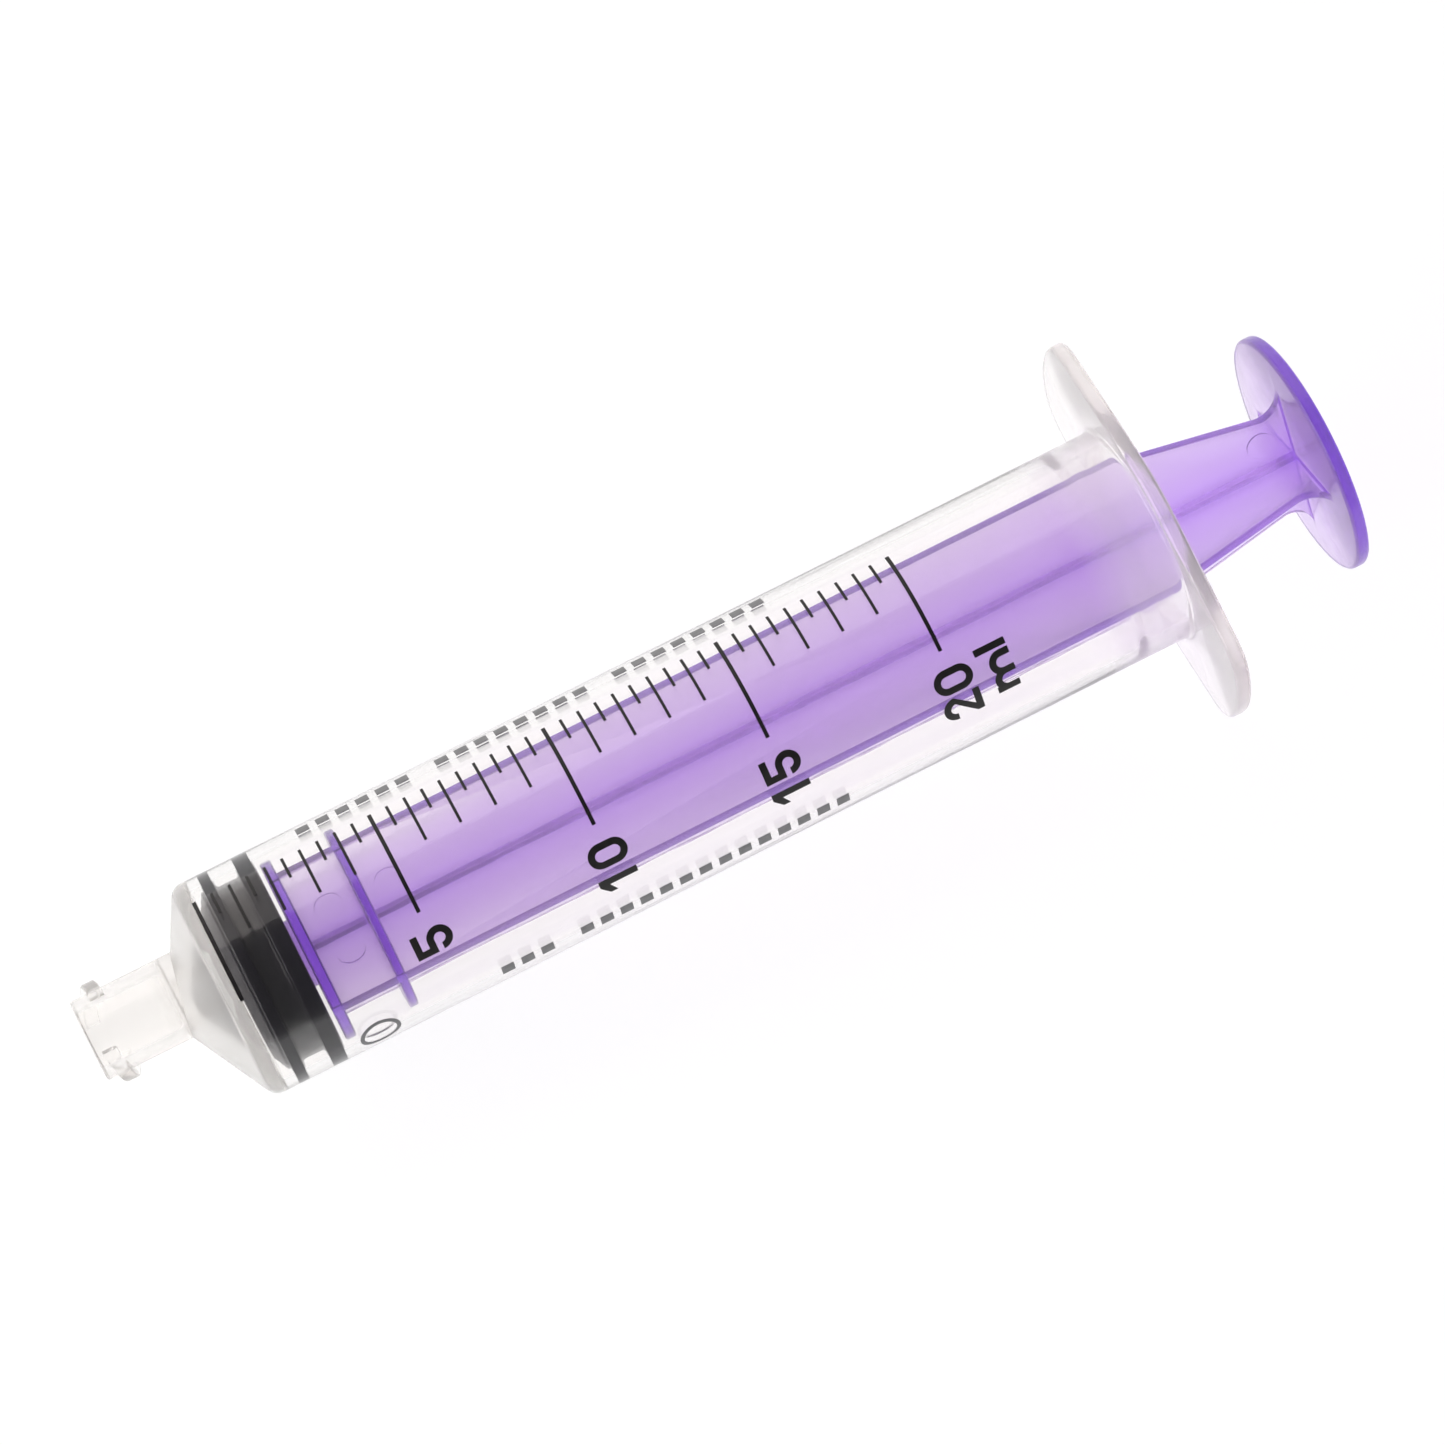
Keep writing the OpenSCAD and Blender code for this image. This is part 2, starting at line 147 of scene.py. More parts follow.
# Stopper and plunger, in millimetres. Places along X are those with the stopper on its seat.
FRONT_RIB_W = 1.3
REAR_RIB_W = 1.75
RIB_BEVEL = 0.12
RIB_SIDE = 0.08
RIB_EDGE_R = 0.15
RIB_SQUEEZE = 0.02
SEAL_GAP = 0.04
GROOVE_DEPTH = 0.85
NOSE_STEP = 0.65
STOPPER_LENGTH = stopper_high.x - DRAWN_BACK
KNOB_LENGTH = 2.0
KNOB_R = 4.5
KNOB_NECK_R = 3.3
KNOB_GAP = 0.06
ROD_START = STOPPER_LENGTH + 0.4
ROD_R = BORE_R - 0.5
GUIDE_R = BORE_R - 0.65
FRONT_GUIDE_T = 1.05
SECOND_GUIDE_T = 0.9
GUIDE_PITCH = 6.45
THUMB_T = 1.35
THUMB_EDGE_R = 0.35
ROD_REACH = THUMB_END - DRAWN_BACK - THUMB_T
FIN_ROOT_T = 1.12
FIN_TIP_T = 0.88
FIN_EDGE_R = 0.2
ROD_TURN = math.radians(-33.5)
WAIST_R = 5.8
FLARE_R = 2.4
FLARE_START = ROD_REACH - FLARE_R
TAPER_LENGTH = 14.4
TAPER_START = ROD_REACH - FLARE_R - TAPER_LENGTH
TAPER_BLEND = 1.0
CORE_R = 0.8

# Where the barrel's plastic clouds over or clears, as (start, end) along X in millimetres
SHOULDER_CLOUD = (-1.6, 0.1)
TIP_CLEARING = (-7.0, -5.0)
MOUTH_CLOUD = (FLANGE_X - 8.0, FLANGE_X - 4.0)

# Where the rod's painted paling (painted light standing for light through the thin fin edges) is palest, in
# millimetres from the axis
PALEST_R = 8.8

# Moulding marks on the fins, as (place along the rod, distance out along the fin)
THUMB_MARK = (ROD_REACH - 3.05, 3.4)
SECOND_BAY_MARK = (ROD_START + GUIDE_PITCH + 3.35, 3.6)
FRONT_BAY_MARK = (ROD_START + 3.9, 4.0)
FRONT_BAY_SIDE_MARK = (ROD_START + 3.9, 3.6)
MARK_R = 1.35
MARK_HEIGHT = 0.08
MARK_ROOT = 0.3
MARK_EDGE_DROP = 0.03
MARK_EDGE_IN = 0.04
MARK_STEPS = 48

# How far solids reach into each other before they are united or cut: a hair, or well inside
HAIR = 0.02
SUNK = 0.2
THUMB_SUNK = 0.3

# Steps round a turned solid, and the radius in millimetres below which a point is on the axis
TURN_STEPS = 192
TIP_STEPS = 128
SOCKET_STEPS = 96
CORE_STEPS = 32
ON_AXIS = 1e-6

slope = math.tan(SHOULDER_ANGLE)
nose_cone_x = RIB_BEVEL + slope * SEAL_GAP
inner_cone_x = nose_cone_x - SEAT_GAP / math.cos(SHOULDER_ANGLE)
outer_cone_x = inner_cone_x - SHOULDER_WALL / math.cos(SHOULDER_ANGLE)


def cone_x(place, r):
    """A shoulder cone's place along X at radius r, from its place at the bore's radius."""
    return place - slope * (BORE_R - r)


# Camera

def add_camera():
    """The photograph's viewing angle, framing and roll."""
    back = Vector((
        math.cos(ELEVATION) * math.cos(AZIMUTH),
        math.cos(ELEVATION) * math.sin(AZIMUTH),
        math.sin(ELEVATION),
    ))
    level = Vector((0, 0, 1)).cross(back).normalized()
    right = Matrix.Rotation(ROLL, 3, back) @ level
    up = back.cross(right)
    data = bpy.data.cameras.new("camera")
    data.lens = LENS
    data.sensor_width = SENSOR
    data.clip_start = CLIP_START
    data.clip_end = CLIP_END
    camera = bpy.data.objects.new("camera", data)
    camera.matrix_world = Matrix((right, up, back)).transposed().to_4x4()
    camera.location = AIM + back * DISTANCE
    bpy.context.scene.collection.objects.link(camera)
    bpy.context.scene.camera = camera


add_camera()


# Shader helpers

class Shader:
    """A material's node tree with short ways to add nodes."""

    def __init__(self, name):
        self.material = bpy.data.materials.new(name)
        self.material.use_nodes = True
        self.tree = self.material.node_tree
        self.tree.nodes.clear()
        self.output = self.tree.nodes.new("ShaderNodeOutputMaterial")

    def node(self, kind, links=None, **settings):
        n = self.tree.nodes.new("ShaderNode" + kind)
        for key, value in settings.items():
            if hasattr(n, key):
                setattr(n, key, value)
            else:
                n.inputs[key.replace("_", " ")].default_value = value
        for key, socket in (links or {}).items():
            self.tree.links.new(socket, n.inputs[key])
        return n

    def math(self, operation, a, b=None):
        n = self.node("Math", operation=operation)
        for i, value in enumerate((a, b)):
            if isinstance(value, (int, float)):
                n.inputs[i].default_value = value
            elif value is not None:
                self.tree.links.new(value, n.inputs[i])
        return n.outputs[0]

    def noise(self, scale, stretch=(1, 1, 1), detail=3.0, roughness=0.5):
        """Noise over the object's own coordinates; scale is in waves per metre."""
        place = self.node("TexCoord").outputs["Object"]
        mapping = self.node("Mapping", {"Vector": place})
        mapping.inputs["Scale"].default_value = stretch
        settings = {"Scale": scale, "Detail": detail, "Roughness": roughness}
        return self.node("TexNoise", {"Vector": mapping.outputs[0]}, **settings).outputs["Fac"]

    def spread(self, value, low, high, start=0.3, end=0.7):
        """Maps start..end to low..high."""
        n = self.node("MapRange", {"Value": value})
        n.inputs["From Min"].default_value = start
        n.inputs["From Max"].default_value = end
        n.inputs["To Min"].default_value = low
        n.inputs["To Max"].default_value = high
        return n.outputs[0]

    def ramp(self, value, *stops):
        """A colour ramp of (place, colour) stops."""
        n = self.node("ValToRGB", {"Fac": value})
        points = n.color_ramp.elements
        while len(points) < len(stops):
            points.new(0.5)
        for point, (place, colour) in zip(points, stops):
            point.position = place
            point.color = (*colour, 1.0)
        return n.outputs["Color"]

    def bump(self, height, strength, distance):
        return self.node("Bump", {"Height": height}, Strength=strength, Distance=distance).outputs["Normal"]

    def principled(self, colour, roughness, normal):
        links = {"Base Color": colour, "Roughness": roughness, "Normal": normal}
        return self.node("BsdfPrincipled", links)

    def see_through(self, colour, roughness, normal):
        """A Principled shader that passes light on, bent as plastic bends it."""
        body = self.principled(colour, roughness, normal)
        body.inputs["IOR"].default_value = PLASTIC_IOR
        body.inputs["Transmission Weight"].default_value = 1.0
        return body.outputs[0]

    def finish(self, surface, volume=None):
        self.tree.links.new(surface, self.output.inputs["Surface"])
        if volume:
            self.tree.links.new(volume, self.output.inputs["Volume"])
        return self.material


def through_for_lamps(shader, surface, tint):
    """Shadow rays pass through the plastic, tinted, so that it does not throw an opaque shadow."""
    ray = shader.node("LightPath").outputs["Is Shadow Ray"]
    passing = shader.node("BsdfTransparent", Color=(*tint, 1.0)).outputs[0]
    return shader.node("MixShader", {0: ray, 1: surface, 2: passing}).outputs[0]


def cloudy(shader, body, tint, share, bounced=0.0):
    """Scatters a share of the light, as cloudy plastic does: most passes through, a part is bounced back."""
    through = shader.node("BsdfTranslucent", Color=(*tint, 1.0)).outputs[0]
    back = shader.node("BsdfDiffuse", Color=(*tint, 1.0)).outputs[0]
    scatter = shader.node("MixShader", {1: through, 2: back})
    scatter.inputs[0].default_value = bounced
    return shader.node("MixShader", {0: share, 1: body, 2: scatter.outputs[0]}).outputs[0]


def clear_plastic():
    """Clear moulded polypropylene: the tube is clear, the tip, shoulder and flange are cloudier."""
    s = Shader("clear_plastic")
    x = s.node("SeparateXYZ", {"Vector": s.node("TexCoord").outputs["Object"]}).outputs["X"]
    shoulder = s.spread(x, 1.0, 0.0, *(place * MM for place in SHOULDER_CLOUD))
    clearer_tip = s.spread(x, 0.5, 0.0, *(place * MM for place in TIP_CLEARING))
    front = s.math("SUBTRACT", shoulder, clearer_tip)
    rear = s.spread(x, 0.0, 0.75, *(place * MM for place in MOUTH_CLOUD))
    cloud = s.math("MAXIMUM", front, rear)
    flow = s.noise(60, (0.5, 6, 6), 4.0)
    speckle = s.noise(900, detail=2.0)
    colour = s.ramp(flow, (0.35, (0.975, 0.965, 0.96)), (0.65, (0.99, 0.985, 0.98)))
    grain = s.spread(speckle, 0.0, 0.03)
    roughness = s.math("ADD", s.spread(cloud, 0.03, 0.12, 0.0, 1.0), grain)
    body = s.see_through(colour, roughness, s.bump(flow, 0.06, 0.0004))
    share = s.spread(cloud, 0.01, 0.3, 0.0, 1.0)
    surface = cloudy(s, body, (0.97, 0.96, 0.945), share, 0.5)
    surface = through_for_lamps(s, surface, (0.97, 0.965, 0.96))
    volume = s.node("VolumeAbsorption", Color=(0.8, 0.55, 0.3, 1.0), Density=CLEAR_DENSITY)
    return s.finish(surface, volume.outputs[0])


def purple_plastic():
    """Translucent purple polypropylene. Its colour is painted deepest at the axis and paler towards the
    fins' edges: painted light, standing for light that reaches through the thin fin edges more than the
    thick core.
    """
    s = Shader("purple_plastic")
    place = s.node("SeparateXYZ", {"Vector": s.node("TexCoord").outputs["Object"]})
    y = place.outputs["Y"]
    z = place.outputs["Z"]
    radius = s.math("SQRT", s.math("ADD", s.math("MULTIPLY", y, y), s.math("MULTIPLY", z, z)))
    cloud = s.noise(120, (0.4, 2, 2), 4.0)
    wobble = s.math("ADD", radius, s.math("MULTIPLY", s.math("SUBTRACT", cloud, 0.5), 0.002))
    # Painted light: the purple is painted deeper near the core, where less light reaches through the
    # plastic, and paler out towards the fins' thin edges.
    depth = s.spread(wobble, 0.0, 1.0, CORE_R * MM, PALEST_R * MM)
    colour = s.ramp(
        depth,
        (0.0, (0.80, 0.66, 0.97)),
        (0.12, (0.86, 0.76, 0.965)),
        (1.0, (0.985, 0.965, 0.99)),
    )
    grain = s.noise(700, detail=2.0)
    body = s.see_through(colour, s.spread(grain, 0.16, 0.24), s.bump(cloud, 0.05, 0.0004))
    share = s.spread(radius, 0.2, 0.1, CORE_R * MM, 2 * CORE_R * MM)
    surface = cloudy(s, body, (0.84, 0.74, 0.96), share)
    surface = through_for_lamps(s, surface, (0.9, 0.84, 0.97))
    volume = s.node("VolumeAbsorption", Color=(0.5, 0.08, 0.88, 1.0), Density=PURPLE_DENSITY)
    return s.finish(surface, volume.outputs[0])


def black_rubber():
    """Smooth black rubber with an oily sheen."""
    s = Shader("black_rubber")
    film = s.noise(60, detail=2.0)
    grain = s.noise(2500, detail=2.0)
    colour = s.ramp(film, (0.3, (0.008, 0.007, 0.011)), (0.7, (0.014, 0.013, 0.019)))
    body = s.principled(colour, s.spread(film, 0.16, 0.26), s.bump(grain, 0.02, 0.00002))
    return s.finish(body.outputs[0])


def ink(name, dark, light):
    """Printing ink, a little uneven where it lies thin."""
    s = Shader(name)
    patches = s.noise(1500, detail=4.0, roughness=0.6)
    colour = s.ramp(patches, (0.3, dark), (0.75, light))
    body = s.principled(colour, s.spread(patches, 0.4, 0.6), s.bump(patches, 0.15, 0.00003))
    return s.finish(body.outputs[0])


def floor_material():
    """A plain pale table that glows softly, like a light table."""
    s = Shader("pale_floor")
    tone = s.noise(3, detail=2.0)
    colour = s.ramp(tone, (0.3, (0.30, 0.30, 0.30)), (0.7, (0.32, 0.32, 0.32)))
    body = s.node("BsdfPrincipled", {"Base Color": colour}, Roughness=0.8)
    body.inputs["Specular IOR Level"].default_value = 0.0
    body.inputs["Emission Color"].default_value = (*WHITE, 1.0)
    body.inputs["Emission Strength"].default_value = FLOOR_GLOW
    return s.finish(body.outputs[0])


# Mesh helpers; every outline is in millimetres

def rounded(points, steps=6):
    """A closed outline from (a, b, radius) corners, each corner rounded with an arc."""
    out = []
    count = len(points)
    for i, (a, b, r) in enumerate(points):
        here = Vector((a, b))
        if r <= 0:
            out.append(here)
            continue
        before = (Vector(points[i - 1][:2]) - here).normalized()
        after = (Vector(points[(i + 1) % count][:2]) - here).normalized()
        half = before.angle(after) / 2
        middle = here + (before + after).normalized() * (r / math.sin(half))
        start = here + before * (r / math.tan(half)) - middle
        end = here + after * (r / math.tan(half)) - middle
        sweep = start.angle_signed(end)
        for k in range(steps + 1):
            out.append(middle + Matrix.Rotation(-sweep * k / steps, 2) @ start)
    return out


def new_object(name, vertices, faces, material):
    """An object from vertices in millimetres and faces."""
    mesh = bpy.data.meshes.new(name)
    mesh.from_pydata([tuple(c * MM for c in v) for v in vertices], [], faces)
    mesh.validate()
    mesh.materials.append(material)
    obj = bpy.data.objects.new(name, mesh)
    bpy.context.scene.collection.objects.link(obj)
    return obj


def turned(name, outline, material, steps=TURN_STEPS, centre=(0, 0)):
    """A solid of revolution about a line along X, from a closed outline of (x, radius) points."""
    vertices = []
    index = []
    for x, r in outline:
        if r < ON_AXIS:
            vertices.append((x, *centre))
            index.append([len(vertices) - 1] * steps)
            continue
        ring = []
        for k in range(steps):
            a = math.tau * k / steps
            vertices.append((x, centre[0] + r * math.cos(a), centre[1] + r * math.sin(a)))
            ring.append(len(vertices) - 1)
        index.append(ring)
    faces = []
    count = len(outline)
    for i in range(count):
        here = index[i]
        there = index[(i + 1) % count]
        for k in range(steps):
            n = (k + 1) % steps
            face = list(dict.fromkeys([here[k], here[n], there[n], there[k]]))
            if len(face) > 2:
                faces.append(face)
    return facing_out(new_object(name, vertices, faces, material))


def lofted(name, sections, material):
    """A closed solid through rings of points, each with the same number of points."""
    vertices = [p for ring in sections for p in ring]
    size = len(sections[0])
    faces = []
    for s in range(len(sections) - 1):
        for k in range(size):
            n = (k + 1) % size
            faces.append([s * size + k, s * size + n, (s + 1) * size + n, (s + 1) * size + k])
    faces.append(list(range(size)))
    faces.append([(len(sections) - 1) * size + k for k in reversed(range(size))])
    return facing_out(new_object(name, vertices, faces, material))


def facing_out(obj):
    """Turns every face's normal outwards."""
    bm = bmesh.new()
    bm.from_mesh(obj.data)
    bmesh.ops.recalc_face_normals(bm, faces=bm.faces)
    bm.to_mesh(obj.data)
    bm.free()
    return obj


def combine(obj, operation, *others):
    """Unites others with obj or cuts them from it, for good."""
    for other in others:
        modifier = obj.modifiers.new("step", "BOOLEAN")
        modifier.operation = operation
        modifier.object = other
        modifier.solver = "MANIFOLD"
    graph = bpy.context.evaluated_depsgraph_get()
    mesh = bpy.data.meshes.new_from_object(obj.evaluated_get(graph))
    obj.modifiers.clear()
    obj.data = mesh
    for other in others:
        bpy.data.objects.remove(other)
    return obj


def smooth(obj, limit=math.radians(28)):
    """Smooth shading, with edges sharper than the limit kept crisp."""
    mesh = obj.data
    mesh.shade_smooth()
    mesh.set_sharp_from_angle(angle=limit)
    return obj


# The barrel

def flange_radius(angle, inset):
    """The flange outline's distance from the axis at an angle from +Y, with its edge pulled in by inset."""
    u = abs(math.cos(angle))
    v = abs(math.sin(angle))
    from_side = math.atan2(u, v)
    depth = FLANGE_SIDE_R - FLANGE_CORNER_R
    run = math.sqrt((FLANGE_END_R - FLANGE_CORNER_R) ** 2 - depth**2)
    corner = Vector((
        depth * math.sin(FLANGE_SLOPE) + run * math.cos(FLANGE_SLOPE),
        depth * math.cos(FLANGE_SLOPE) - run * math.sin(FLANGE_SLOPE),
    ))
    if from_side <= FLANGE_SLOPE:
        return FLANGE_SIDE_R - inset
    if Vector((u, v)).cross(corner) >= 0:
        return FLANGE_END_R - inset
    straight = (FLANGE_SIDE_R - inset) / math.cos(from_side - FLANGE_SLOPE)
    side_end = corner + (FLANGE_CORNER_R - inset) * Vector((math.sin(FLANGE_SLOPE), math.cos(FLANGE_SLOPE)))
    if Vector((u, v)).cross(side_end) <= 0:
        return straight
    along = corner.dot((u, v))
    off = corner.cross((u, v))
    return along + math.sqrt((FLANGE_CORNER_R - inset) ** 2 - off**2)


def flange(material):
    """The finger flange, as rings that follow its outline round both edges."""
    steps = 6
    path = []
    for k in range(steps + 1):
        a = math.pi / 2 * (1 - k / steps)
        path.append((FLANGE_X + FLANGE_EDGE_R * (1 - math.sin(a)), FLANGE_EDGE_R * (1 - math.cos(a))))
    path += [(FLANGE_X + BARREL_END - x, inset) for x, inset in reversed(path)]
    angles = [math.tau * k / FLANGE_STEPS for k in range(FLANGE_STEPS)]
    rings = []
    for x, inset in path:
        ring = []
        for a in angles:
            r = flange_radius(a, inset)
            ring.append((x, r * math.cos(a), r * math.sin(a)))
        rings.append(ring)
    return lofted("flange", rings, material)


def lug(side, material):
    """One leaning locking lug on the tip, on the front (-1) or the rear (1)."""
    steps = 40
    sections = []
    for k in range(steps + 1):
        a = (k / steps - 0.5) * LUG_ANGLE
        y = math.cos(a) * side
        z = math.sin(a)
        centre_x = TIP_END + LUG_SETBACK + side * LUG_LEAN * LUG_R * z
        outline = rounded([
            (centre_x - LUG_W / 2, TIP_R - LUG_ROOT, 0),
            (centre_x + LUG_W / 2, TIP_R - LUG_ROOT, 0),
            (centre_x + LUG_W / 2, LUG_R, LUG_EDGE_R),
            (centre_x - LUG_W / 2, LUG_R, LUG_EDGE_R),
        ], 3)
        sections.append([(x, TIP_Y + r * y, r * z) for x, r in outline])
    return lofted("lug", sections, material)


def barrel(material):
    """The tube, shoulder, tip and flange in one piece, with the bore, the socket and the orifice cut out."""
    hub_r = TUBE_R + 1.0
    body = turned("barrel_body", rounded([
        (cone_x(outer_cone_x, 0), 0, 0),
        (cone_x(outer_cone_x, TUBE_R), TUBE_R, SHOULDER_EDGE_R),
        (FLANGE_X, TUBE_R, FLANGE_FILLET_R),
        (FLANGE_X, hub_r, 0),
        (BARREL_END - SUNK, hub_r, 0),
        (BARREL_END - SUNK, 0, 0),
    ], 10), material)
    root_x = cone_x(outer_cone_x, TIP_Y + TIP_R)
    tip = turned("tip", rounded([
        (TIP_END, 0, 0),
        (TIP_END, TIP_R, 0.2),
        (root_x + SUNK, TIP_R, 0),
        (root_x + SUNK, 0, 0),
    ], 5), material, TIP_STEPS, (TIP_Y, 0))
    combine(body, "UNION", flange(material), tip, lug(-1, material), lug(1, material))
    cone_floor = cone_x(inner_cone_x, NOSE_FLAT_R)
    bore = turned("bore", rounded([
        (cone_floor, 0, 0),
        (cone_floor, NOSE_FLAT_R, 0.3),
        (inner_cone_x, BORE_R, 0.3),
        (RIDGE_X - RIDGE_RUN, BORE_R, RIDGE_BLEND_R),
        (RIDGE_X + RIDGE_W / 2, BORE_R - RIDGE_H, RIDGE_BLEND_R),
        (RIDGE_X + RIDGE_W + RIDGE_RUN, BORE_R, RIDGE_BLEND_R),
        (BARREL_END - MOUTH_CHAMFER, BORE_R, 0.3),
        (BARREL_END, BORE_R + MOUTH_CHAMFER, 0),
        (BARREL_END + 1, BORE_R + MOUTH_CHAMFER, 0),
        (BARREL_END + 1, 0, 0),
    ], 6), material)
    socket_floor = TIP_END + SOCKET_DEPTH
    orifice_end = cone_x(inner_cone_x, TIP_Y + ORIFICE_R) + HAIR
    socket = turned("socket", rounded([
        (TIP_END - 1, 0, 0),
        (TIP_END - 1, SOCKET_R + SOCKET_CHAMFER, 0),
        (TIP_END, SOCKET_R + SOCKET_CHAMFER, 0),
        (TIP_END + SOCKET_CHAMFER, SOCKET_R, 0.2),
        (socket_floor, SOCKET_R, 0.25),
        (socket_floor, ORIFICE_R, 0),
        (orifice_end, ORIFICE_R, 0),
        (orifice_end, 0, 0),
    ], 4), material, SOCKET_STEPS, (TIP_Y, 0))
    combine(body, "DIFFERENCE", bore, socket)
    return smooth(body)


# The stopper

def stopper(material):
    """The seal; its ribs press a hair into the tube's wall, as rubber does, so no air shows between them."""
    nose_r = BORE_R - NOSE_STEP
    groove_r = BORE_R - GROOVE_DEPTH
    rib_r = BORE_R + RIB_SQUEEZE
    groove_end = STOPPER_LENGTH - REAR_RIB_W
    nose_x = cone_x(nose_cone_x, NOSE_FLAT_R)
    knob_back = STOPPER_LENGTH - KNOB_LENGTH
    knob_front = knob_back - KNOB_LENGTH
    outline = rounded([
        (nose_x, 0, 0),
        (nose_x, NOSE_FLAT_R, 0.2),
        (cone_x(nose_cone_x, nose_r), nose_r, 0.08),
        (0, nose_r, 0.05),
        (RIB_SIDE, rib_r, RIB_EDGE_R),
        (FRONT_RIB_W - RIB_SIDE, rib_r, RIB_EDGE_R),
        (FRONT_RIB_W, groove_r, 0.3),
        (groove_end, groove_r, 0.3),
        (groove_end + RIB_SIDE, rib_r, RIB_EDGE_R),
        (STOPPER_LENGTH - RIB_SIDE, rib_r, RIB_EDGE_R),
        (STOPPER_LENGTH, nose_r, RIB_EDGE_R),
        (STOPPER_LENGTH, KNOB_NECK_R + KNOB_GAP, 0),
        (knob_back, KNOB_NECK_R + KNOB_GAP, 0),
        (knob_back, KNOB_R + KNOB_GAP, 0),
        (knob_front, KNOB_R + KNOB_GAP, 0),
        (knob_front, 0, 0),
    ], 5)
    seal = turned("stopper_seal", [(x + DRAWN_BACK, r) for x, r in outline], material)
    return smooth(seal)


# The plunger

def fin_height(x):
    """How far a fin stands out of the axis at x."""
    if x <= TAPER_START:
        return ROD_R
    if x <= FLARE_START:
        return ROD_R + (WAIST_R - ROD_R) * (x - TAPER_START) / TAPER_LENGTH
    climb = min(x - FLARE_START, FLARE_R)
    return WAIST_R + FLARE_R - math.sqrt(max(FLARE_R**2 - climb**2, 0))


def rod_point(x, out, across, turn):
    """A point on the rod at rest, from its place beside a fin that is turned about the axis."""
    return (
        x + DRAWN_BACK,
        out * math.cos(turn) - across * math.sin(turn),
        out * math.sin(turn) + across * math.cos(turn),
    )


def fin_pair(turn, material):
    """Two opposite fins as one plate, thinner towards its edges, with rounded edges."""
    places = [
        ROD_START + HAIR,
        TAPER_START - TAPER_BLEND,
        TAPER_START,
        TAPER_START + TAPER_BLEND,
        FLARE_START,
    ]
    places += [FLARE_START + FLARE_R * math.sin(math.pi / 2 * k / 10) for k in range(1, 11)]
    places += [ROD_REACH + THUMB_SUNK]
    sections = []
    for x in places:
        h = fin_height(x)
        ring = rounded([
            (-h, -FIN_TIP_T / 2, FIN_EDGE_R),
            (0, -FIN_ROOT_T / 2, 0),
            (h, -FIN_TIP_T / 2, FIN_EDGE_R),
            (h, FIN_TIP_T / 2, FIN_EDGE_R),
            (0, FIN_ROOT_T / 2, 0),
            (-h, FIN_TIP_T / 2, FIN_EDGE_R),
        ], 3)
        sections.append([rod_point(x, p.x, p.y, turn) for p in ring])
    return lofted("fins", sections, material)


def rod_disc(x, thickness, radius, material, edge_r=0.2):
    """A disc on the rod, starting at x, with both edges rounded."""
    return turned("disc", rounded([
        (x + DRAWN_BACK, 0, 0),
        (x + DRAWN_BACK, radius, edge_r),
        (x + DRAWN_BACK + thickness, radius, edge_r),
        (x + DRAWN_BACK + thickness, 0, 0),
    ], 5), material)


def raised_mark(place, turn, side, material):
    """A round moulding mark, slightly proud of one side (1 or -1) of a fin."""
    x, reach = place
    base = FIN_ROOT_T / 2 - MARK_ROOT
    top = FIN_ROOT_T / 2 + (FIN_TIP_T - FIN_ROOT_T) / 2 * reach / ROD_R + MARK_HEIGHT
    sections = []
    for level, r in ((base, MARK_R), (top - MARK_EDGE_DROP, MARK_R), (top, MARK_R - MARK_EDGE_IN)):
        ring = []
        for k in range(MARK_STEPS):
            a = math.tau * k / MARK_STEPS
            ring.append(rod_point(x + r * math.cos(a), reach + r * math.sin(a), side * level, turn))
        sections.append(ring)
    return lofted("spot", sections, material)


def plunger(material):
    """The rod with its fins, core, guide discs, knob, thumb rest and moulding marks, in one piece."""
    turn = math.pi / 2 + ROD_TURN
    rod = fin_pair(turn, material)
    rod.name = "plunger_rod"
    core_start = ROD_START + DRAWN_BACK
    core_end = ROD_REACH + DRAWN_BACK + THUMB_SUNK
    core = turned("core", [
        (core_start, 0),
        (core_start, CORE_R),
        (core_end, CORE_R),
        (core_end, 0),
    ], material, CORE_STEPS)
    knob_front = STOPPER_LENGTH - 2 * KNOB_LENGTH
    knob = rod_disc(knob_front, KNOB_LENGTH, KNOB_R, material)
    neck_start = knob_front + KNOB_LENGTH - HAIR
    neck_length = ROD_START - knob_front - KNOB_LENGTH + 2 * HAIR
    neck = rod_disc(neck_start, neck_length, KNOB_NECK_R, material, 0)
    thumb = rod_disc(ROD_REACH, THUMB_T, THUMB_R, material, THUMB_EDGE_R)
    other = turn + math.pi / 2
    combine(
        rod, "UNION",
        fin_pair(other, material),
        core,
        rod_disc(ROD_START, FRONT_GUIDE_T, GUIDE_R, material),
        rod_disc(ROD_START + GUIDE_PITCH, SECOND_GUIDE_T, GUIDE_R, material),
        knob, neck, thumb,
        raised_mark(THUMB_MARK, turn, 1, material),
        raised_mark(SECOND_BAY_MARK, turn, 1, material),
        raised_mark(FRONT_BAY_MARK, turn, 1, material),
        raised_mark(FRONT_BAY_SIDE_MARK, other, -1, material),
    )
    return smooth(rod)


# The surroundings and the scene

def floor(material):
    """A flat square under the syringe, at the lowest point of the CAD model."""
    low = cad_box[0][2]
    mesh = bpy.data.meshes.new("floor")
    vertices = [
        (-FLOOR_HALF, -FLOOR_HALF, low),
        (FLOOR_HALF, -FLOOR_HALF, low),
        (FLOOR_HALF, FLOOR_HALF, low),
        (-FLOOR_HALF, FLOOR_HALF, low),
    ]
    mesh.from_pydata(vertices, [], [(0, 1, 2, 3)])
    mesh.materials.append(material)
    obj = bpy.data.objects.new("floor", mesh)
    bpy.context.scene.collection.objects.link(obj)


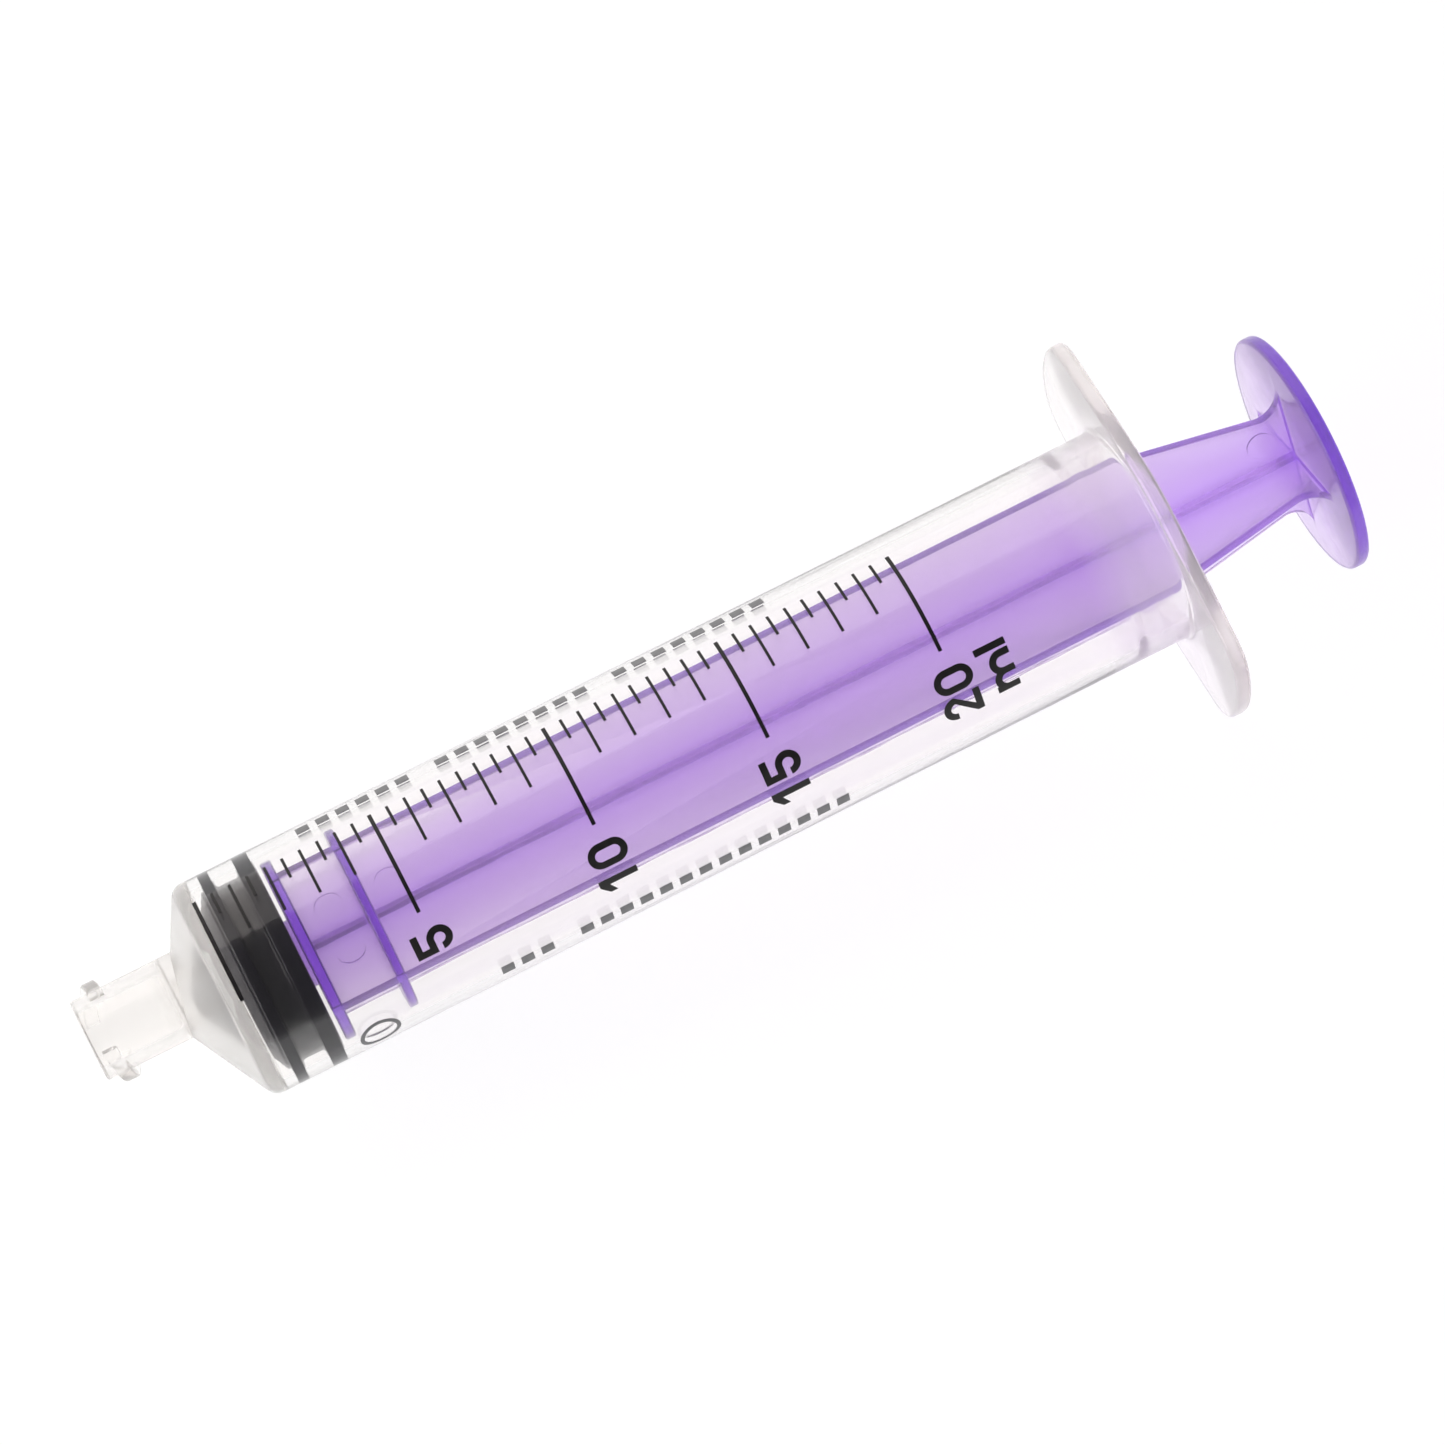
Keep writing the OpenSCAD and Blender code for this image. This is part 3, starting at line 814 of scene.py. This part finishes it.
def soft_box(name, place, target, size, power, colour=WHITE):
    """A soft rectangular light that the camera does not see, in metres and watts."""
    data = bpy.data.lights.new(name, "AREA")
    data.shape = "RECTANGLE"
    data.size, data.size_y = size
    data.energy = power
    data.color = colour
    obj = bpy.data.objects.new(name, data)
    obj.location = place
    obj.rotation_euler = (Vector(target) - Vector(place)).to_track_quat("-Z", "Y").to_euler()
    obj.visible_camera = False
    bpy.context.scene.collection.objects.link(obj)


def surroundings():
    """Pale walls near the horizon and a darker ceiling."""
    world = bpy.data.worlds.new("studio")
    bpy.context.scene.world = world
    world.use_nodes = True
    tree = world.node_tree
    tree.nodes.clear()
    out = tree.nodes.new("ShaderNodeOutputWorld")
    background = tree.nodes.new("ShaderNodeBackground")
    ramp = tree.nodes.new("ShaderNodeValToRGB")
    split = tree.nodes.new("ShaderNodeSeparateXYZ")
    place = tree.nodes.new("ShaderNodeTexCoord")
    points = ramp.color_ramp.elements
    points[0].position = 0.0
    points[0].color = (*HORIZON, 1.0)
    points[1].position = CEILING_START
    points[1].color = (*CEILING, 1.0)
    tree.links.new(place.outputs["Generated"], split.inputs[0])
    tree.links.new(split.outputs["Z"], ramp.inputs[0])
    tree.links.new(ramp.outputs[0], background.inputs["Color"])
    tree.links.new(background.outputs[0], out.inputs["Surface"])


def show(piece, body, nodes):
    """Lets a piece ride on its body and take the place of its CAD nodes."""
    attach(piece, body)
    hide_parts(*nodes)


clear = clear_plastic()
purple = purple_plastic()
rubber = black_rubber()
black_ink = ink("black_ink", (0.006, 0.005, 0.005), (0.022, 0.019, 0.018))
grey_ink = ink("grey_ink", (0.15, 0.15, 0.155), (0.30, 0.30, 0.31))

show(barrel(clear), "barrel", ["barrel"])
show(stopper(rubber), "stopper", ["stopper"])
show(plunger(purple), "plunger", ["plunger"])

# The print keeps its CAD solids and gets its inks.
for node, obj in frame["nodes"].items():
    if node in ("barrel", "stopper", "plunger"):
        continue
    finish = grey_ink if node.startswith("print_blocks") else black_ink
    obj.data.materials.clear()
    obj.data.materials.append(finish)

floor(floor_material())
surroundings()
soft_box(
    "rear_box",
    place=(0.05, 0.82, 0.5),
    target=(0.05, 0, 0),
    size=(2.4, 1.25),
    power=7.5,
    colour=(1.0, 0.94, 0.91),
)
soft_box(
    "tip_box",
    place=(-0.85, 0.0, 0.4),
    target=(0, 0, 0),
    size=(0.9, 0.7),
    power=6.0,
)

scene = bpy.context.scene
scene.view_settings.view_transform = "Standard"
scene.cycles.max_bounces = LIGHT_BOUNCES
scene.cycles.transmission_bounces = LIGHT_BOUNCES
scene.cycles.transparent_max_bounces = LIGHT_BOUNCES
